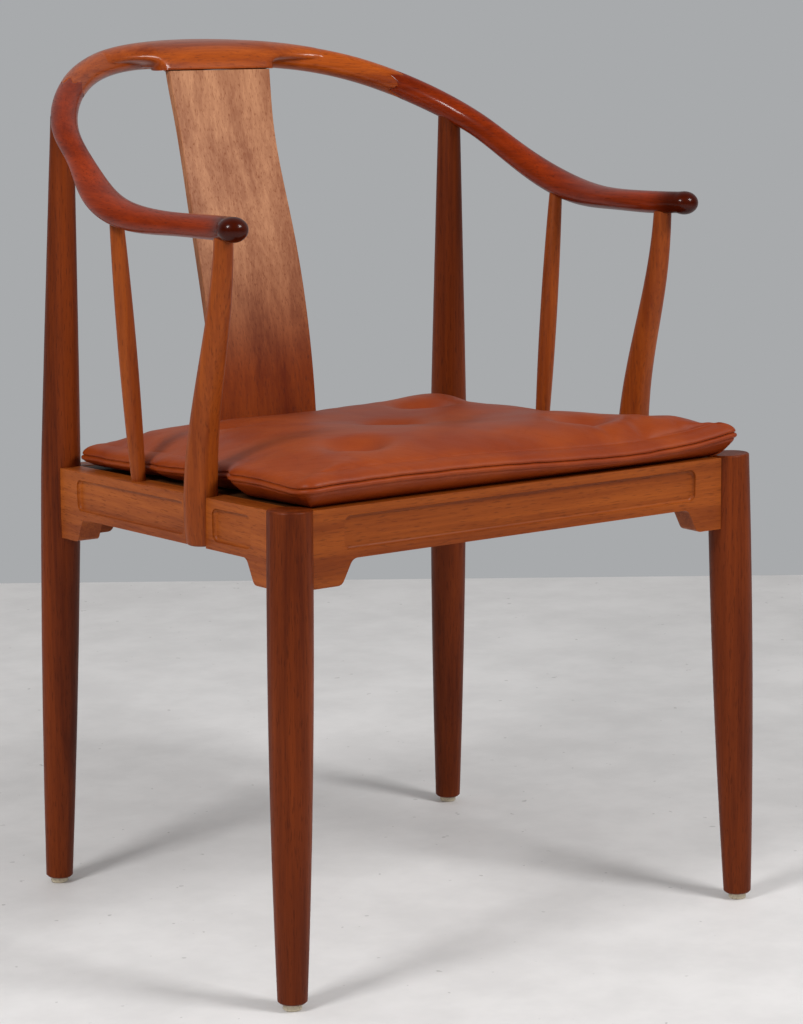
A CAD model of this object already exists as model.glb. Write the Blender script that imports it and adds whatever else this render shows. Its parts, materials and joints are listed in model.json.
"""Looks of the horseshoe back armchair, dressed over its CAD frame."""
import json
import math

import bmesh
import bpy
import numpy as np
from bpy.props import FloatProperty, FloatVectorProperty, IntProperty, PointerProperty
from mathutils import Matrix, Vector, noise


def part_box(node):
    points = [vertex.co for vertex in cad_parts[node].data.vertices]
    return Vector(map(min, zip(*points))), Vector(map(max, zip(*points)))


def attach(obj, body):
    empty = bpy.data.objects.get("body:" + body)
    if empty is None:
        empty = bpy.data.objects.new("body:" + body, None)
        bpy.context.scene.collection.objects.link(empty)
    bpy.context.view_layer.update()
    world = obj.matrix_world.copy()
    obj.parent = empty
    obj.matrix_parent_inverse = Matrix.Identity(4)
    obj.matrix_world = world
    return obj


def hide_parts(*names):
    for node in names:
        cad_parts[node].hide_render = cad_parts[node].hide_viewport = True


bl_info = {
    "name": "Horseshoe back armchair",
    "version": (1, 0, 0),
    "blender": (4, 5, 0),
    "location": "3D View > Sidebar > Armchair",
    "description": "Dresses the armchair's frame in wood, leather and plastic, and lights it",
    "category": "Add Mesh",
}

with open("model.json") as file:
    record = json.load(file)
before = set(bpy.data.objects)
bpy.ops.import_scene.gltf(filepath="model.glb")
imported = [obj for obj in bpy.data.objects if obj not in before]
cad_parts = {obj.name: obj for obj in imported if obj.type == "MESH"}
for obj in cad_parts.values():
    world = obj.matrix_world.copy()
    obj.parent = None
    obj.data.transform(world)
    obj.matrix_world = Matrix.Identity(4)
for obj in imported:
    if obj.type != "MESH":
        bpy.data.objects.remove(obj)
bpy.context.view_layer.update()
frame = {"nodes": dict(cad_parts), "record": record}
NODES = frame["nodes"]
MM = 0.001


# ---------------------------------------------------------------- shader kit
class Value:
    """A node socket, with arithmetic that adds Math nodes."""

    def __init__(self, shade, socket):
        self.shade = shade
        self.socket = socket

    def _math(self, operation, *inputs):
        return self.shade.node("ShaderNodeMath", {"operation": operation}, *inputs)

    def __add__(self, other):
        return self._math("ADD", self, other)

    def __radd__(self, other):
        return self._math("ADD", other, self)

    def __sub__(self, other):
        return self._math("SUBTRACT", self, other)

    def __rsub__(self, other):
        return self._math("SUBTRACT", other, self)

    def __mul__(self, other):
        return self._math("MULTIPLY", self, other)

    def __truediv__(self, other):
        return self._math("DIVIDE", self, other)

    def power(self, exponent):
        return self._math("POWER", self, exponent)

    def most(self, other):
        return self._math("MAXIMUM", self, other)

    def size(self):
        return self._math("ABSOLUTE", self)

    def above(self, low, high):
        """0 at low, 1 at high, smooth between; low may be the larger."""
        settings = {"interpolation_type": "SMOOTHSTEP"}
        return self.shade.node("ShaderNodeMapRange", settings, self, low, high, 0.0, 1.0)

    def scaled(self, x, y, z):
        return self.shade.node("ShaderNodeVectorMath", {"operation": "MULTIPLY"}, self, (x, y, z))


class Shade:
    """One material's node tree."""

    def __init__(self, name):
        self.material = bpy.data.materials.new(name)
        self.material.use_nodes = True
        self.tree = self.material.node_tree
        self.surface = self.tree.nodes["Principled BSDF"]

    def feed(self, socket, value):
        """Links a Value, or sets a plain number, vector or colour; None leaves the socket alone."""
        if isinstance(value, Value):
            self.tree.links.new(value.socket, socket)
        elif value is not None:
            socket.default_value = value

    def node(self, kind, settings, *inputs, out=0):
        """Adds a node, sets it up, feeds its inputs in order and returns one of its outputs."""
        node = self.tree.nodes.new(kind)
        for key, setting in settings.items():
            setattr(node, key, setting)
        for socket, value in zip(node.inputs, inputs):
            self.feed(socket, value)
        return Value(self, node.outputs[out])

    def place(self):
        """Object coordinates, the node's fourth output."""
        return self.node("ShaderNodeTexCoord", {}, out=3)

    def parts(self, vector):
        """A vector's X, Y and Z."""
        split = self.node("ShaderNodeSeparateXYZ", {}, vector)
        return [Value(self, socket) for socket in split.socket.node.outputs]

    def vector(self, x, y, z):
        return self.node("ShaderNodeCombineXYZ", {}, x, y, z)

    def noise(self, vector, scale, detail=2.0, roughness=0.5, distortion=0.0):
        """Noise round 0.5."""
        inputs = (vector, None, scale, detail, roughness, None, None, None, distortion)
        return self.node("ShaderNodeTexNoise", {}, *inputs)

    def cells(self, vector, scale):
        """Distance to the edge of the nearest cell, in cells."""
        settings = {"feature": "DISTANCE_TO_EDGE"}
        return self.node("ShaderNodeTexVoronoi", settings, vector, None, scale)

    def blend(self, factor, first, second):
        """Mixes two colours."""
        node = self.tree.nodes.new("ShaderNodeMix")
        node.data_type = "RGBA"
        for index, value in zip((0, 6, 7), (factor, first, second)):
            self.feed(node.inputs[index], value)
        return Value(self, node.outputs[2])

    def bump(self, height, strength, distance):
        return self.node("ShaderNodeBump", {}, strength, distance, None, height)

    def set(self, **sockets):
        """Sets or feeds the surface's sockets, named with underscores."""
        for name, value in sockets.items():
            self.feed(self.surface.inputs[name.replace("_", " ")], value)


def colour(red, green, blue):
    """An sRGB colour in 0 to 255, as the linear values that shaders take."""
    shares = [c / 255 for c in (red, green, blue)]
    return (*[((c + 0.055) / 1.055) ** 2.4 if c > 0.04045 else c / 12.92 for c in shares], 1.0)


def darker(paint, share):
    """A colour scaled towards black."""
    return (*[c * share for c in paint[:3]], 1.0)


# ---------------------------------------------------------------- wood
BEND_RADIUS = 0.256               # of the round back part of the horseshoe, to its centre line
MIDDLE = 0.1 * MM                 # half width of the middle, where left turns into right
RAIL_RADIUS = 14 * MM
KNOB_ZONE = 50 * MM               # length of arm over which the end grain of a knob darkens it
KNOB_DEPTH = 0.22                 # of the dark colour, at the tip
PORE_DEPTH = 0.45                 # of the dark colour, in a pore
PORE_SHARE = 0.4                  # how much a pore shows
PALING_ZONE = (0.47, 0.63)        # heights between which the splat pales
SAPWOOD = (colour(140, 82, 50), colour(200, 144, 104))    # its pale upper part, dark and light
FIGURE_SHARES = (0.46, 0.30, 0.24)    # of bands, streaks and drift in the colour
WOOD_RELIEF = (0.10, 0.3 * MM)    # strength and depth of the bump
COAT_GLOSS = 0.12
# Layers of the figure: (stretch along the grain, scale per metre, detail, roughness, distortion,
# noise at which the layer begins, noise at which it is full)
BANDS = (0.03, 46.0, 3.0, 0.55, 0.15, 0.32, 0.68)
STREAKS = (0.03, 330.0, 3.0, 0.65, 0.0, 0.32, 0.72)
DRIFT = (0.25, 20.0, 2.0, 0.5, 0.0, 0.3, 0.7)
PORES = (0.09, 900.0, 1.0, 0.5, 0.0, 0.58, 0.70)


def grain_along(shade, axis):
    """Coordinates in metres whose Z runs with the grain."""
    x, y, z = shade.parts(shade.place())
    if axis == "X":
        return shade.vector(y, z, x)
    if axis == "Y":
        return shade.vector(x, z, y)
    if axis == "Z":
        return shade.vector(x, y, z)
    return bent_grain(shade, x, y, z)


def bent_grain(shade, x, y, z):
    """Grain that follows the horseshoe: straight along the arms, then round the back."""
    bend_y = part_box("crest_rail")[1][1] - RAIL_RADIUS - BEND_RADIUS
    behind = (y - bend_y).most(0.0)
    ahead = (bend_y - y).most(0.0)
    turn = shade.node("ShaderNodeMath", {"operation": "ARCTAN2"}, x.size(), behind)
    reach = (x * x + behind * behind).power(0.5)
    side = x / (x.size() + MIDDLE)
    return shade.vector(reach, z, side * (ahead + turn * BEND_RADIUS))


def layer(shade, along, stretch, scale, detail, roughness, distortion, low, high):
    """One layer of the figure, from 0 to 1."""
    cloud = shade.noise(along.scaled(1.0, 1.0, stretch), scale, detail, roughness, distortion)
    return cloud.above(low, high)


def wood(name, dark, light, axis, rough, shine, coat, knob, paling=0.0):
    """Oiled hardwood: bands, streaks, pores and a drifting figure along the grain."""
    shade = Shade(name)
    along = grain_along(shade, axis)
    layers = (BANDS, STREAKS, DRIFT, PORES)
    bands, streaks, drift, pore = [layer(shade, along, *sizes) for sizes in layers]
    banded, streaked, drifting = FIGURE_SHARES
    figure = bands * banded + streaks * streaked + drift * drifting
    base = shade.blend(figure, dark, light)
    base = shade.blend(pore * PORE_SHARE, base, darker(dark, PORE_DEPTH))
    if paling:
        z = shade.parts(shade.place())[2]
        paled = z.above(*PALING_ZONE) * paling
        sapwood = shade.blend(figure - pore * PORE_SHARE, *SAPWOOD)
        base = shade.blend(paled, base, sapwood)
    if knob:
        y = shade.parts(shade.place())[1]
        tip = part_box("left_arm")[0][1]
        near = y.above(tip + KNOB_ZONE, tip + KNOB_ZONE / 3)
        base = shade.blend(near * knob, base, darker(dark, KNOB_DEPTH))
    height = streaks * 0.3 - pore * 0.7
    shade.set(Base_Color=base, Roughness=rough + pore * 0.1 - streaks * 0.04)
    shade.set(Normal=shade.bump(height, *WOOD_RELIEF), Specular_IOR_Level=shine)
    shade.set(Coat_Weight=coat, Coat_Roughness=COAT_GLOSS)
    return shade.material


# Slot of the record: (grain, dark, light, roughness, shine, coat, darkening of a knob, paling)
# The side rails share a slot with the other rails, and have a row of their own for their grain.
WOODS = {
    "crest_wood": ("bend", colour(108, 36, 7), colour(172, 80, 21), 0.34, 0.14, 0.28, 0.0),
    "arm_wood": ("bend", colour(84, 20, 4), colour(144, 48, 9), 0.32, 0.06, 0.24, 0.85),
    "splat_wood": ("Z", colour(94, 28, 3), colour(140, 60, 15), 0.42, 0.20, 0.0, 0.0, 0.9),
    "leg_wood": ("Z", colour(77, 26, 5), colour(124, 52, 13), 0.44, 0.12, 0.0, 0.0),
    "post_wood": ("Z", colour(108, 40, 7), colour(158, 76, 20), 0.42, 0.20, 0.0, 0.0),
    "rail_wood": ("X", colour(108, 43, 9), colour(158, 79, 24), 0.42, 0.18, 0.0, 0.0),
    "side_rail_wood": ("Y", colour(116, 47, 10), colour(172, 89, 28), 0.42, 0.18, 0.0, 0.0),
    "block_wood": ("X", colour(150, 110, 66), colour(186, 146, 98), 0.60, 0.20, 0.0, 0.0),
    "board_wood": ("X", colour(60, 34, 16), colour(82, 48, 24), 0.60, 0.10, 0.0, 0.0),
}


def screw_steel():
    """Zinc-plated steel, lightly brushed."""
    shade = Shade("screw_steel")
    scratch = shade.noise(shade.place().scaled(1.0, 1.0, 8.0), 900.0, 2.0)
    shade.set(Base_Color=colour(176, 176, 172), Metallic=1.0, Roughness=0.28 + scratch * 0.16)
    return shade.material


def glide_plastic():
    """Ivory plastic, scuffed from sliding."""
    shade = Shade("glide_plastic")
    scuff = shade.noise(shade.place(), 420.0, 4.0).above(0.5, 0.75)
    shade.set(Base_Color=shade.blend(scuff, colour(196, 184, 160), colour(160, 148, 126)))
    shade.set(Roughness=0.38 + scuff * 0.2)
    return shade.material


def dress(node, material):
    """Gives a CAD node its material."""
    for slot in NODES[node].material_slots:
        slot.material = material


class CHAIR_OT_wood(bpy.types.Operator):
    """Oiled hardwood, steel and plastic on the pieces that keep their own shape"""
    bl_idname = "chair.wood"
    bl_label = "Wood and fittings"

    def execute(self, context):
        made = {"screw_steel": screw_steel(), "glide_plastic": glide_plastic(),
                "cushion_leather": leather()}
        for name, (axis, dark, light, *finish) in WOODS.items():
            made[name] = wood(name, dark, light, axis, *finish)
        for part in frame["record"]["subparts"]:
            name = part["material_slot"]
            if name == "rail_wood" and "side" in part["node"]:
                name = "side_rail_wood"
            dress(part["node"], made[name])
        return {"FINISHED"}


# ---------------------------------------------------------------- horseshoe
LUG_END = 62 * MM                 # from the middle, where the lug starts to die into the rail
LUG_FADE = 24 * MM                # length over which it does so in the solid
LUG_DRAW = 40 * MM                # how much further its upper part is drawn out
LUG_TUCK = 8 * MM                 # and how much its foot is drawn in
LUG_DEPTHS = (11 * MM, 22 * MM)   # below the rail's top: drawn out above these, drawn in below
LUG_BOTTOM = 29.6 * MM            # foot of the lug below the rail's top, level with its underside
LUG_REACH = 90 * MM               # from the middle, how far the foot is kept above that
LUG_HORN = 55 * MM                # just past the splat's edges the foot is lifted
HORN_LIFT = 2.4 * MM
HORN_RISE = 5 * MM                # over which the lift comes in
HORN_HOLD = 0.4                   # share of LUG_FADE before it goes out again
LUG_FOOT = 24.5 * MM              # deeper than this the lug stays sharp, flush with the splat
LUG_FRONT = 24 * MM               # and only this far in front of the rail's middle
FOOT_FADE = 2 * MM                # depth over which sharp begins
FOOT_END = 3 * MM                 # length over which sharp ends towards the side
FOOT_SHORT = 0.8                  # shares of FOOT_END that it ends short of LUG_END
TOP_STEP = 3 * MM                 # marks at which the rail's top line is taken
TOP_NEAR = 2 * MM                 # half width of the strip round a mark
TOP_SLICE = 0.5 * MM              # thickness of the strip's highest layer
TOP_DEGREE = 6                    # of the curves fitted to the marks
MERGE = 0.01 * MM                 # loose corners closer than this become one
RUB_FACTOR = 0.5


class RailSettings(bpy.types.PropertyGroup):
    """The rubbed crest rail and arms"""
    grain: FloatProperty(name="Remesh", description="Size of the cells that remake the solids",
                         default=1.0 * MM, min=0.5 * MM, unit="LENGTH")
    passes: IntProperty(name="Rubbing", description="How many times the surface is smoothed",
                        default=15, min=0)


def eased(share):
    """Smooth step from 0 to 1."""
    share = np.clip(share, 0.0, 1.0)
    return share * share * (3 - 2 * share)


def top_line(points):
    """The highest line along half of the crest rail: its end in X, then Y and Z as curves of X."""
    away = np.abs(points[:, 0])
    marks = np.arange(0.0, away.max() - TOP_NEAR, TOP_STEP)
    ridge = []
    for mark in marks:
        near = points[np.abs(away - mark) < TOP_NEAR]
        top = near[near[:, 2] > near[:, 2].max() - TOP_SLICE]
        ridge.append((top[:, 1].mean(), top[:, 2].mean()))
    fit = np.polynomial.Polynomial.fit
    across, height = (fit(marks, line, TOP_DEGREE) for line in np.array(ridge).T)
    return marks[-1], across, height


def drawn_out(points):
    """Draws the lug's upper front out along the rail and its foot in.

    Also gives 1 for each point of the foot, and 0 for the rest.
    """
    away = np.abs(points[:, 0])
    end, across, height = top_line(points)
    past = away - LUG_HORN
    horn = eased(past / HORN_RISE) * (1 - eased(past / LUG_FADE - HORN_HOLD))
    bottom = height(away) - LUG_BOTTOM + HORN_LIFT * horn
    points[:, 2] = np.where(away < LUG_REACH, np.maximum(points[:, 2], bottom), points[:, 2])
    depth = height(away) - points[:, 2]
    shallow, deep = LUG_DEPTHS
    draw = LUG_DRAW - (LUG_DRAW + LUG_TUCK) * eased((depth - shallow) / (deep - shallow))
    moved = away + draw * eased((away - LUG_END) / LUG_FADE)
    gone = LUG_END + LUG_FADE
    beyond = gone + draw + (away - gone) * (end - gone - draw) / (end - gone)
    moved = np.where(away > gone, beyond, moved)
    moved = np.where((away > LUG_END) & (away < end), moved, away)
    slope = across.deriv()
    forward = (points[:, 1] - across(away)) / np.sqrt(1 + slope(away) ** 2)
    drawn = np.column_stack([np.sign(points[:, 0]) * moved,
                             across(moved) + forward * np.sqrt(1 + slope(moved) ** 2),
                             points[:, 2] + height(moved) - height(away)])
    shifted = moved != away
    points[shifted] = drawn[shifted]
    foot = eased((depth - LUG_FOOT) / FOOT_FADE) * eased((LUG_END - away) / FOOT_END - FOOT_SHORT)
    foot *= forward < -LUG_FRONT
    return points, foot


def points_of(mesh):
    """A mesh's points as rows of X, Y and Z."""
    flat = np.empty(3 * len(mesh.vertices))
    mesh.vertices.foreach_get("co", flat)
    return flat.reshape(-1, 3)


def move_to(mesh, points):
    """Moves a mesh's points to new places."""
    mesh.vertices.foreach_set("co", points.ravel())
    mesh.update()


def rubbed(node, name, settings):
    """A copy of a CAD node with its creases rubbed away, in its own place and material."""
    mesh = NODES[node].data.copy()
    merged = bmesh.new()
    merged.from_mesh(mesh)
    bmesh.ops.remove_doubles(merged, verts=merged.verts, dist=MERGE)
    merged.to_mesh(mesh)
    merged.free()
    piece = bpy.data.objects.new(name, mesh)
    bpy.context.scene.collection.objects.link(piece)
    remesh = piece.modifiers.new("cells", "REMESH")
    remesh.mode = "VOXEL"
    remesh.voxel_size = settings.grain
    remesh.use_smooth_shade = True
    settle(piece)
    sharp, kept = points_of(piece.data), 0.0
    if node == "crest_rail":
        sharp, kept = drawn_out(sharp)
        move_to(piece.data, sharp)
    smooth = piece.modifiers.new("rub", "SMOOTH")
    smooth.factor = RUB_FACTOR
    smooth.iterations = settings.passes
    settle(piece)
    soft = points_of(piece.data)
    move_to(piece.data, soft + (sharp - soft) * np.reshape(kept, (-1, 1)))
    piece.data.materials.clear()
    piece.data.materials.append(NODES[node].material_slots[0].material)
    return piece


def settle(piece):
    """Applies all modifiers of a piece."""
    graph = bpy.context.evaluated_depsgraph_get()
    mesh = bpy.data.meshes.new_from_object(piece.evaluated_get(graph))
    piece.modifiers.clear()
    mesh.name = piece.name
    piece.data = mesh


class CHAIR_OT_horseshoe(bpy.types.Operator):
    """Crest rail and arms rubbed smooth, so that knobs and lug melt into the rail"""
    bl_idname = "chair.horseshoe"
    bl_label = "Horseshoe"

    def execute(self, context):
        settings = context.scene.chair_rail
        for node, name in (("crest_rail", "crest_rubbed"), ("left_arm", "left_arm_rubbed"),
                           ("right_arm", "right_arm_rubbed")):
            piece = rubbed(node, name, settings)
            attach(piece, "frame")
            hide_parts(node)
        return {"FINISHED"}


# ---------------------------------------------------------------- cushion
class CushionSettings(bpy.types.PropertyGroup):
    """The loose leather cushion"""
    swell: FloatProperty(name="Swell", description="How far the stuffing lifts the top's middle",
                         default=24 * MM, min=0.0, unit="LENGTH")
    tuft: FloatProperty(name="Tuft depth", description="How far each tuft is pulled in",
                        default=12 * MM, min=0.0, unit="LENGTH")
    pressure: FloatProperty(name="Stuffing", description="Pressure of the cloth simulation",
                            default=4.0, min=0.0)
    frames: IntProperty(name="Frames", description="Length of the cloth simulation",
                        default=20, min=2)


CUSHION_ACROSS = 88               # cells of the top, side to side
CUSHION_DEEP = 76                 # cells, front to rear
SEAT_SLOPE = 0.0153 / 0.4105      # fall over run: the seat falls to the rear
SOLE_IN = 20 * MM                 # the flat sole ends this far inside the rear edge
BOX_IN = 0.5 * MM                 # rear and ears stand this far inside the solid's box
FRONT_OUT = 1.5 * MM              # and the front this far in front of it
ARC_HALF = 8                      # steps in half a rounded corner
SEAM_EASING = 12                  # times that the seams' heights are smoothed
CORNER_EASING = 4                 # and the directions in which the edge is drawn in
RIPPLE_SCALE = 60.0               # waves in the edge, per metre
RIPPLE_SEED = 3.0
RIPPLE = 0.5 * MM
FRONT_RADIUS = (15 * MM, 7 * MM)  # front corners from above, left and right
EAR_OUT = 3.5 * MM                # the right front corner is pulled out by this
EAR_RADIUS = 14 * MM
WAIST_RADIUS = 12 * MM
REAR_RADIUS = 14 * MM
PINCH_RADIUS = 22 * MM
POST_RADIUS = 15 * MM
STEM_CLEARANCE = 3.8 * MM         # between the cover and a post or spindle
EAR_END = 36 * MM                 # in front of the post's centre
WAIST_START = 13 * MM             # and so is this
PINCH_DEPTH = 6.5 * MM            # how far the spindle presses the side in
PINCH_HALF = 23 * MM
REAR_IN = 3 * MM                  # the rear corners stand this far inside the swollen side
SIDE_HOLLOW = 2.0 * MM            # how far front and rear pull in between their corners
# Where the stuffing lies thicker or thinner than the simulation leaves it, in mm:
# (x, y, half width, half depth, rise)
STUFFING = [(-110, 85, 90, 45, 3.5), (85, 85, 80, 45, 1.0), (190, 25, 45, 60, -7.0),
            (190, -95, 40, 55, -8.0), (-190, 60, 40, 80, 3.0), (190, -180, 45, 45, -5.0),
            (155, 60, 40, 45, 8.0)]
STUFFING_RIM = 4                  # whole wherever the lift is over one part in this many
TUFTS = [(-134, -200), (120, -199), (3, -64), (-124, 26), (96, 17)]    # x, y in mm
TUFT_WIDE = 27 * MM
TUFT_DEEP = 23 * MM
TUFT_STEEP = 2.6                  # how abruptly a tuft's rim falls in
# Height of the upper seam above the sole along each side: (share of the side, height in mm)
SEAM_FRONT = [(0.0, 18.7), (0.05, 20.0), (0.15, 20.6), (0.28, 20.3), (0.43, 18.4), (0.53, 16.4),
              (0.63, 14.0), (0.74, 12.7), (0.84, 14.6), (0.93, 18.4), (1.0, 24.0)]
SEAM_RIGHT = [(0.0, 23.5), (0.04, 21.5), (0.1, 17.0), (0.2, 13.5), (0.35, 13.5), (0.5, 12.5),
              (0.65, 10.5), (0.8, 11.0), (1.0, 12.4)]
SEAM_REAR = [(0.0, 12.4), (0.5, 12.0), (1.0, 12.4)]
SEAM_LEFT = [(0.0, 12.4), (0.2, 12.4), (0.35, 14.2), (0.5, 15.6), (0.6, 18.0), (0.7, 20.6),
             (0.82, 21.2), (0.9, 18.8), (0.96, 17.4), (1.0, 18.7)]
# Section from the top panel down to the lower seam, in mm: (drawn in, above the upper seam)
EDGE_ROLL = [(17.0, 9.6), (11.0, 8.4), (6.6, 6.7), (3.6, 4.6), (1.9, 2.6), (1.5, 1.2), (2.1, 0.35),
             (3.6, 0.0)]
EDGE_WELT = [(2.0, -0.45), (0.7, -1.2), (0.2, -2.5), (0.6, -3.9), (1.8, -4.8), (3.4, -5.3)]
WELT_DROP = 5.3                   # lower seam below the upper one, mm
# Section of the lower panel: (drawn in, in mm; share of the lower seam's height above the sole)
EDGE_UNDER = [(3.0, 0.93), (5.4, 0.78), (9.6, 0.52), (14.5, 0.24), (19.0, 0.07), (24.5, 0.0)]

LEATHER_DYE = (colour(130, 48, 7), colour(146, 60, 10))    # deep and light
LEATHER_DARK = colour(88, 27, 6)  # in the grain and creases
LEATHER_RELIEF = (0.22, 0.5 * MM)     # strength and depth of the bump
LEATHER_SHINE = 0.22


def leather():
    """Waxed leather: fine grain lines, faint creases and a slow change of depth in its dye."""
    shade = Shade("cushion_leather")
    place = shade.place()
    cloud = shade.noise(place, 16.0, 3.0, 0.6).above(0.3, 0.7)
    grain = shade.cells(shade.noise(place, 90.0, 2.0) * 0.002 + place, 780.0).above(0.0, 0.22)
    crease = (shade.noise(place, 26.0, 3.0, 0.55, 1.2) - 0.5).size().above(0.0, 0.03)
    base = shade.blend(cloud, *LEATHER_DYE)
    base = shade.blend((1.0 - grain) * 0.12 + (1.0 - crease) * 0.08, base, LEATHER_DARK)
    shade.set(Base_Color=base, Roughness=0.47 - grain * 0.05 + cloud * 0.04)
    relief = shade.bump(grain * 0.35 + crease * 0.5, *LEATHER_RELIEF)
    shade.set(Normal=relief, Specular_IOR_Level=LEATHER_SHINE)
    return shade.material


def rounded(corners, fillets, first, last):
    """Points from the middle of one rounded corner to that of another, through those between."""
    arcs = []
    for index in range(first, last + 1):
        around = (index, index - 1, index + 1)
        corner, before, after = [np.array(corners[i % len(corners)]) for i in around]
        before = (before - corner) / np.linalg.norm(before - corner)
        after = (after - corner) / np.linalg.norm(after - corner)
        half = math.acos(np.clip(before @ after, -1, 1)) / 2
        radius = fillets[index % len(corners)]
        inward = (before + after) / np.linalg.norm(before + after)
        middle = corner + inward * radius / math.sin(half)
        start = corner + before * radius / math.tan(half) - middle
        end = corner + after * radius / math.tan(half) - middle
        sweep = math.pi - 2 * half
        turns = np.linspace(0, 1, 2 * ARC_HALF + 1)[:, None]
        arc = (start * np.sin((1 - turns) * sweep) + end * np.sin(turns * sweep)) / math.sin(sweep)
        arcs.append(middle + arc)
    arcs[0] = arcs[0][ARC_HALF:]
    arcs[-1] = arcs[-1][:ARC_HALF + 1]
    return np.concatenate(arcs)


def even(points, count):
    """count + 1 points at even spacing along a polyline."""
    steps = np.linalg.norm(np.diff(points, axis=0), axis=1)
    run = np.concatenate([[0.0], np.cumsum(steps)])
    where = np.linspace(0.0, run[-1], count + 1)
    return np.stack([np.interp(where, run, points[:, axis]) for axis in (0, 1)], axis=1)


def cushion_sides():
    """The plan of the cushion, anticlockwise from its front left corner: four sides of points."""
    low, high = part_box("seat_cushion")
    post_low, post_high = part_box("right_arm_post")
    spindle_low, spindle_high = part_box("right_spindle")
    post_y = post_high[1] - POST_RADIUS
    spindle_y = (spindle_low[1] + spindle_high[1]) / 2
    front, rear = low[1] - FRONT_OUT, high[1] - BOX_IN
    ear_x, waist_x = high[0] - BOX_IN, post_low[0] - STEM_CLEARANCE
    pinch_x = spindle_low[0] - STEM_CLEARANCE
    swollen_x = pinch_x + PINCH_DEPTH
    right = [(ear_x, front), (ear_x, post_y - EAR_END), (waist_x, post_y - WAIST_START),
             (swollen_x, spindle_y - PINCH_HALF), (pinch_x, spindle_y),
             (swollen_x, spindle_y + PINCH_HALF), (swollen_x - REAR_IN, rear)]
    corners = right + [(-x, y) for x, y in reversed(right)]
    corners[0] = (ear_x + EAR_OUT, front)
    fillets = [0.0, EAR_RADIUS, WAIST_RADIUS, PINCH_RADIUS, PINCH_RADIUS, PINCH_RADIUS, REAR_RADIUS]
    fillets += fillets[::-1]
    fillets[-1], fillets[0] = FRONT_RADIUS
    last = len(right) - 1
    spans = [(-1, 0, CUSHION_ACROSS), (0, last, CUSHION_DEEP), (last, last + 1, CUSHION_ACROSS),
             (last + 1, 2 * last + 1, CUSHION_DEEP)]
    sides = []
    for start, end, count in spans:
        side = even(rounded(corners, fillets, start, end), count)
        if count == CUSHION_ACROSS:
            inward = SIDE_HOLLOW if start < 0 else -SIDE_HOLLOW
            side[:, 1] += np.sin(np.pi * np.linspace(0, 1, count + 1)) * inward
        sides.append(side)
    return sides


def fill_between(front, right, rear, left):
    """Grid of points between four sides (a Coons patch); rows run from the front to the rear."""
    rear, left = rear[::-1], left[::-1]
    u = np.linspace(0, 1, len(front))[None, :, None]
    v = np.linspace(0, 1, len(right))[:, None, None]
    across = (1 - v) * front[None] + v * rear[None]
    deep = (1 - u) * left[:, None] + u * right[:, None]
    ahead, behind = [(1 - u) * side[0] + u * side[-1] for side in (front, rear)]
    return across + deep - ((1 - v) * ahead + v * behind)


def seam_heights():
    """Height of the upper seam above the sole, for each border point."""
    counts = [CUSHION_ACROSS, CUSHION_DEEP] * 2
    heights = []
    for count, levels in zip(counts, (SEAM_FRONT, SEAM_RIGHT, SEAM_REAR, SEAM_LEFT)):
        share = np.arange(count) / count
        heights.append(np.interp(share, [p[0] for p in levels], [p[1] for p in levels]))
    level = np.concatenate(heights) * MM
    for _ in range(SEAM_EASING):
        level = (np.roll(level, 1) + 2 * level + np.roll(level, -1)) / 4
    return level


def sole_height(y):
    """Height of the plane that the cushion lies on."""
    low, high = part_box("seat_cushion")
    return low[2] + (high[1] - SOLE_IN - y) * SEAT_SLOPE


def wander(points, scale, seed):
    """Smooth noise between about -1 and 1 at points."""
    return np.array([noise.noise(Vector((p[0] * scale, p[1] * scale, seed))) for p in points])


def border_rings(border, heights):
    """Rings of points round the edge, from the top panel's rim down to the sole's."""
    ahead = np.roll(border, -1, axis=0) - np.roll(border, 1, axis=0)
    inward = np.stack([-ahead[:, 1], ahead[:, 0]], axis=1)
    for _ in range(CORNER_EASING):
        inward /= np.linalg.norm(inward, axis=1)[:, None]
        inward = np.roll(inward, 1, axis=0) + 2 * inward + np.roll(inward, -1, axis=0)
    inward /= np.linalg.norm(inward, axis=1)[:, None]
    ripple = wander(border, RIPPLE_SCALE, RIPPLE_SEED) * RIPPLE
    under = heights - WELT_DROP * MM
    rings = [(inset * MM + ripple, heights + rise * MM + ripple)
             for inset, rise in EDGE_ROLL + EDGE_WELT]
    rings += [(np.full(len(border), inset * MM), under * share) for inset, share in EDGE_UNDER]
    placed = []
    for inset, height in rings:
        plan = border + inward * inset[:, None]
        placed.append(np.column_stack([plan, sole_height(plan[:, 1]) + height]))
    return placed


def as_sides(ring):
    """Cuts a closed ring into its four sides, ends shared."""
    closed = np.concatenate([ring, ring[:1]])
    half = CUSHION_ACROSS + CUSHION_DEEP
    marks = [0, CUSHION_ACROSS, half, half + CUSHION_ACROSS, len(ring)]
    return [closed[start:end + 1] for start, end in zip(marks, marks[1:])]


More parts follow.
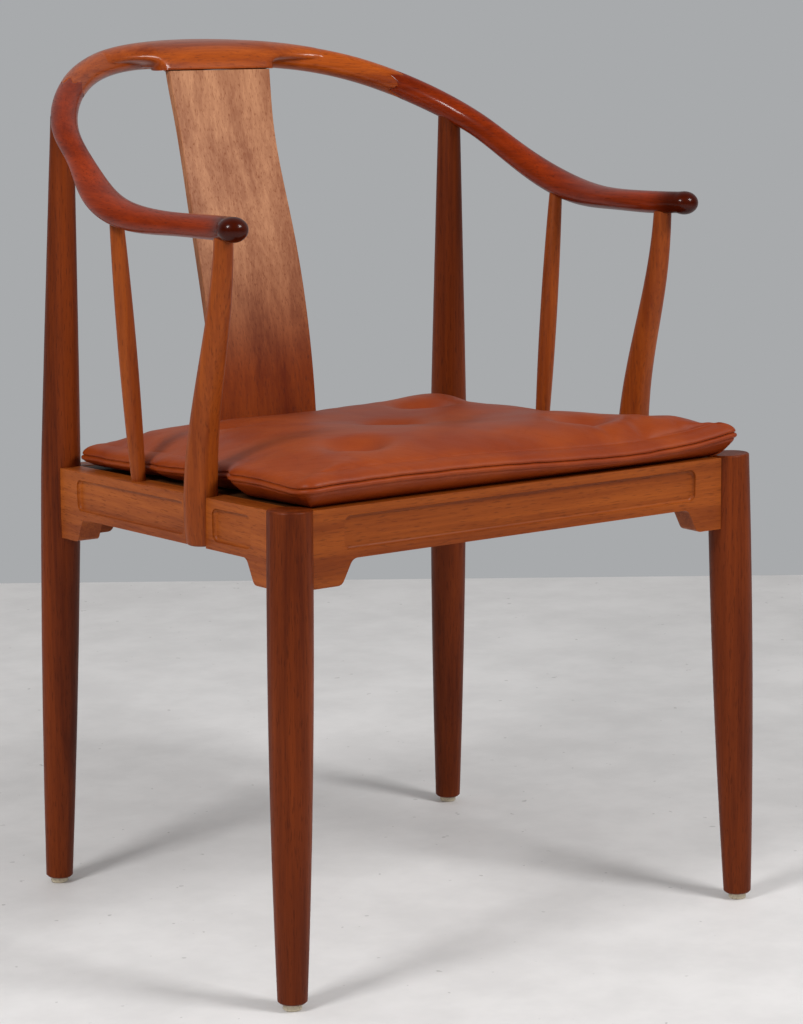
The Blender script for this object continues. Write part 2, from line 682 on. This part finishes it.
def sewn_cover():
    """The cover before it is stuffed: its mesh, and 1 for each point of the top that can rise."""
    border = np.concatenate([side[:-1] for side in cushion_sides()])
    rings = border_rings(border, seam_heights())
    top = fill_between(*as_sides(rings[0])).reshape(-1, 3)
    sole = fill_between(*as_sides(rings[-1])).reshape(-1, 3)
    wide, deep = CUSHION_ACROSS + 1, CUSHION_DEEP + 1
    grid = np.arange(wide * deep).reshape(deep, wide)
    edge = np.concatenate([grid[0, :-1], grid[:-1, -1], grid[-1, :0:-1], grid[:0:-1, 0]])
    points = [top, *rings[1:-1], sole]
    loops = [edge]
    count = len(top)
    for ring in rings[1:-1]:
        loops.append(np.arange(count, count + len(ring)))
        count += len(ring)
    loops.append(edge + count)
    faces = [(a, a + 1, a + wide + 1, a + wide) for a in grid[:-1, :-1].ravel()]
    faces += [tuple(count + i for i in reversed(face)) for face in faces]
    for upper, lower in zip(loops, loops[1:]):
        faces += zip(lower, np.roll(lower, -1), np.roll(upper, -1), upper)
    mesh = bpy.data.meshes.new("cushion")
    faces = [[int(corner) for corner in face] for face in faces]
    mesh.from_pydata(np.concatenate(points).tolist(), [], faces)
    free = np.zeros(len(mesh.vertices))
    free[:len(top)] = 1.0
    free[edge] = 0.0
    return mesh, free


def stuffed(piece, free, settings):
    """How far a cloth simulation under pressure lifts each point, as shares of the highest."""
    sewn = piece.vertex_groups.new(name="sewn")
    for index in np.flatnonzero(free == 0):
        sewn.add([int(index)], 1.0, "REPLACE")
    cloth = piece.modifiers.new("stuffing", "CLOTH")
    cloth.settings.vertex_group_mass = sewn.name
    cloth.settings.use_pressure = True
    cloth.settings.uniform_pressure_force = settings.pressure
    cloth.settings.effector_weights.gravity = 0.0
    cloth.settings.quality = 5
    cloth.point_cache.frame_start = 1
    cloth.point_cache.frame_end = settings.frames
    scene = bpy.context.scene
    for moment in range(1, settings.frames + 1):
        scene.frame_set(moment)
    graph = bpy.context.evaluated_depsgraph_get()
    lift = points_of(piece.evaluated_get(graph).data)[:, 2] - points_of(piece.data)[:, 2]
    piece.modifiers.remove(cloth)
    piece.vertex_groups.clear()
    scene.frame_set(1)
    return np.clip(lift * free, 0.0, None) / lift.max()


def tufted(points):
    """1 at each tuft, fading to its rim."""
    total = np.zeros(len(points))
    for x, y in TUFTS:
        away = np.hypot((points[:, 0] - x * MM) / TUFT_WIDE, (points[:, 1] - y * MM) / TUFT_DEEP)
        total = np.maximum(total, np.exp(-away ** TUFT_STEEP))
    return total


def packed(points):
    """How much thicker the stuffing lies at each point."""
    rise = np.zeros(len(points))
    for x, y, wide, deep, height in STUFFING:
        away = ((points[:, 0] - x * MM) / wide) ** 2 + ((points[:, 1] - y * MM) / deep) ** 2
        rise += height * MM * np.exp(-away / MM ** 2)
    return rise


class CHAIR_OT_cushion(bpy.types.Operator):
    """Leather cushion: sewn from panels with a welt, stuffed by a cloth simulation and tufted"""
    bl_idname = "chair.cushion"
    bl_label = "Cushion"

    def execute(self, context):
        settings = context.scene.chair_cushion
        mesh, free = sewn_cover()
        piece = bpy.data.objects.new("cushion", mesh)
        context.scene.collection.objects.link(piece)
        points = points_of(mesh)
        lift = stuffed(piece, free, settings)
        lift = np.sin(lift * math.pi / 2)
        points[:, 2] += lift * settings.swell - tufted(points) * settings.tuft * free
        points[:, 2] += packed(points) * np.clip(STUFFING_RIM * lift, 0.0, 1.0)
        move_to(mesh, points)
        piece.modifiers.new("fine", "SUBSURF").levels = 1
        settle(piece)
        piece.data.shade_smooth()
        piece.data.materials.append(NODES["seat_cushion"].material_slots[0].material)
        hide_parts("seat_cushion")
        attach(piece, "cushion")
        return {"FINISHED"}


# ---------------------------------------------------------------- stage
class StageSettings(bpy.types.PropertyGroup):
    """Light, backdrop and camera"""
    level: FloatProperty(name="Light level", description="Strength of the two soft lamps",
                         default=38.0, min=0.0, unit="POWER")
    ambient: FloatProperty(name="Ambient", description="Strength of the light from all round",
                           default=0.45, min=0.0)
    backdrop: FloatVectorProperty(name="Backdrop", description="Colour behind the floor", min=0.0,
                                  max=1.0, default=colour(168, 170, 172)[:3], subtype="COLOR")
    lens: FloatProperty(name="Focal length", description="For the long side of the frame",
                        default=99.71, unit="CAMERA")


CAMERA_PLACE = Vector((-1.5237, -2.1807, 0.8370))
CAMERA_TURN = math.radians(35.949)    # from +Y towards +X
CAMERA_DIP = math.radians(10.131)
CAMERA_ROLL = math.radians(-0.336)
SENSOR_WIDTH = 36.0               # mm
LAMP_TARGET = Vector((0.0, -0.05, 0.45))
LAMP_SIDE = 0.6
# Lamp: (place, share of the light level)
LAMPS = {"left_lamp": ((-2.15, -0.60, 2.15), 1.0), "right_lamp": ((0.68, -1.70, 1.92), 0.80)}
# Where the floor meets the backdrop
FLOOR_EDGE = (Vector((0.431, 1.475, 0.0)), Vector((1.358, 0.835, 0.0)))
FLOOR_REACH = 9.0
FLOOR_DROP = Vector((0.0, 0.0, 0.2 * MM))     # keeps the glides clear of the floor
FLOOR_PAINT = (colour(221, 219, 218), colour(231, 229, 228))
FLOOR_SPECK = colour(120, 116, 112)
ROOM_SHARE = 0.04                 # of the backdrop's grey, mirrored from the rest of the room
ROOM_FADE = (-0.2, 0.6)           # cosines of the way to the backdrop, between which it fades in


def aim_camera():
    """Camera axes from its turn, dip and roll."""
    turn, dip, roll = CAMERA_TURN, CAMERA_DIP, CAMERA_ROLL
    ahead = Vector((math.sin(turn) * math.cos(dip), math.cos(turn) * math.cos(dip), -math.sin(dip)))
    level = Vector((math.cos(turn), -math.sin(turn), 0.0))
    up = level.cross(ahead)
    right = level * math.cos(roll) + up * math.sin(roll)
    top = up * math.cos(roll) - level * math.sin(roll)
    turned = Matrix((right, top, -ahead)).transposed().to_4x4()
    return Matrix.Translation(CAMERA_PLACE) @ turned


def softbox(name, place, power):
    """A square soft lamp turned to the chair."""
    lamp = bpy.data.lights.new(name, "AREA")
    lamp.shape = "SQUARE"
    lamp.size = LAMP_SIDE
    lamp.energy = power
    holder = bpy.data.objects.new(name, lamp)
    bpy.context.scene.collection.objects.link(holder)
    holder.location = place
    holder.rotation_euler = (Vector(place) - LAMP_TARGET).to_track_quat("Z", "Y").to_euler()


def lay_floor():
    """A pale painted floor that ends where the backdrop starts."""
    left, right = FLOOR_EDGE
    along = (right - left).normalized()
    near = Vector((along.y, -along.x, 0.0))
    if near.dot(CAMERA_PLACE) < 0:
        near = -near
    corners = [left - along * FLOOR_REACH, right + along * FLOOR_REACH]
    corners += [corners[1] + near * FLOOR_REACH, corners[0] + near * FLOOR_REACH]
    mesh = bpy.data.meshes.new("floor")
    mesh.from_pydata([corner - FLOOR_DROP for corner in corners], [], [(0, 3, 2, 1)])
    floor = bpy.data.objects.new("floor", mesh)
    bpy.context.scene.collection.objects.link(floor)
    shade = Shade("floor_paint")
    place = shade.place()
    cloud = shade.noise(place, 9.0, 4.0, 0.65).above(0.3, 0.7)
    speck = shade.noise(place, 55.0, 2.0, 0.7).above(0.705, 0.735)
    base = shade.blend(cloud, *FLOOR_PAINT)
    shade.set(Base_Color=shade.blend(speck * 0.35, base, FLOOR_SPECK), Roughness=0.6)
    mesh.materials.append(shade.material)


def light_world(settings):
    """Soft light from all round.

    Camera rays see the backdrop's grey, and mirrors see it where it stands.
    """
    world = bpy.data.worlds.new("studio")
    world.use_nodes = True
    tree = world.node_tree
    link = tree.links.new
    path = tree.nodes.new("ShaderNodeLightPath")
    sky = tree.nodes["Background"]
    sky.inputs[0].default_value = (1.0, 1.0, 1.0, 1.0)
    sky.inputs[1].default_value = settings.ambient
    seen, mirrored = [tree.nodes.new("ShaderNodeBackground") for _ in range(2)]
    for backdrop in (seen, mirrored):
        backdrop.inputs[0].default_value = (*settings.backdrop, 1.0)
    toward = tree.nodes.new("ShaderNodeVectorMath")
    toward.operation = "DOT_PRODUCT"
    toward.inputs[1].default_value = (math.sin(CAMERA_TURN), math.cos(CAMERA_TURN), 0.0)
    link(tree.nodes.new("ShaderNodeTexCoord").outputs["Generated"], toward.inputs[0])
    fade = tree.nodes.new("ShaderNodeMapRange")
    for index, value in enumerate((*ROOM_FADE, ROOM_SHARE, 1.0), start=1):
        fade.inputs[index].default_value = value
    link(toward.outputs["Value"], fade.inputs[0])
    link(fade.outputs[0], mirrored.inputs[1])
    clear = tree.nodes.new("ShaderNodeMath")
    clear.operation = "ADD"
    clear.use_clamp = True
    link(path.outputs["Is Camera Ray"], clear.inputs[0])
    link(path.outputs["Is Transmission Ray"], clear.inputs[1])
    lit = sky.outputs[0]
    mirror = path.outputs["Is Glossy Ray"]
    for factor, shader in ((mirror, mirrored), (clear.outputs[0], seen)):
        mix = tree.nodes.new("ShaderNodeMixShader")
        link(factor, mix.inputs[0])
        link(lit, mix.inputs[1])
        link(shader.outputs[0], mix.inputs[2])
        lit = mix.outputs[0]
    link(lit, tree.nodes["World Output"].inputs[0])
    bpy.context.scene.world = world


class CHAIR_OT_stage(bpy.types.Operator):
    """Pale floor, two soft lamps and the camera"""
    bl_idname = "chair.stage"
    bl_label = "Stage"

    def execute(self, context):
        settings = context.scene.chair_stage
        lay_floor()
        light_world(settings)
        for name, (place, share) in LAMPS.items():
            softbox(name, place, settings.level * share)
        lens = bpy.data.cameras.new("camera")
        lens.sensor_fit = "AUTO"
        lens.sensor_width = SENSOR_WIDTH
        lens.lens = settings.lens
        camera = bpy.data.objects.new("camera", lens)
        context.scene.collection.objects.link(camera)
        camera.matrix_world = aim_camera()
        context.scene.camera = camera
        context.scene.view_settings.view_transform = "Standard"
        return {"FINISHED"}


# ---------------------------------------------------------------- panel and registration
class CHAIR_PT_panel(bpy.types.Panel):
    """Lists the armchair's pieces"""
    bl_idname = "CHAIR_PT_panel"
    bl_label = "Armchair"
    bl_space_type = "VIEW_3D"
    bl_region_type = "UI"
    bl_category = "Armchair"

    def draw(self, context):
        for operator in OPERATORS:
            self.layout.operator(operator.bl_idname)


OPERATORS = (CHAIR_OT_wood, CHAIR_OT_horseshoe, CHAIR_OT_cushion, CHAIR_OT_stage)
SETTINGS = {"chair_rail": RailSettings, "chair_cushion": CushionSettings,
            "chair_stage": StageSettings}
CLASSES = (*SETTINGS.values(), *OPERATORS, CHAIR_PT_panel)


def register():
    for item in CLASSES:
        bpy.utils.register_class(item)
    for name, group in SETTINGS.items():
        setattr(bpy.types.Scene, name, PointerProperty(type=group))


def unregister():
    for name in SETTINGS:
        delattr(bpy.types.Scene, name)
    for item in reversed(CLASSES):
        bpy.utils.unregister_class(item)


def main():
    register()
    bpy.ops.chair.wood()
    bpy.ops.chair.horseshoe()
    bpy.ops.chair.cushion()
    bpy.ops.chair.stage()


if __name__ == "__main__":
    main()
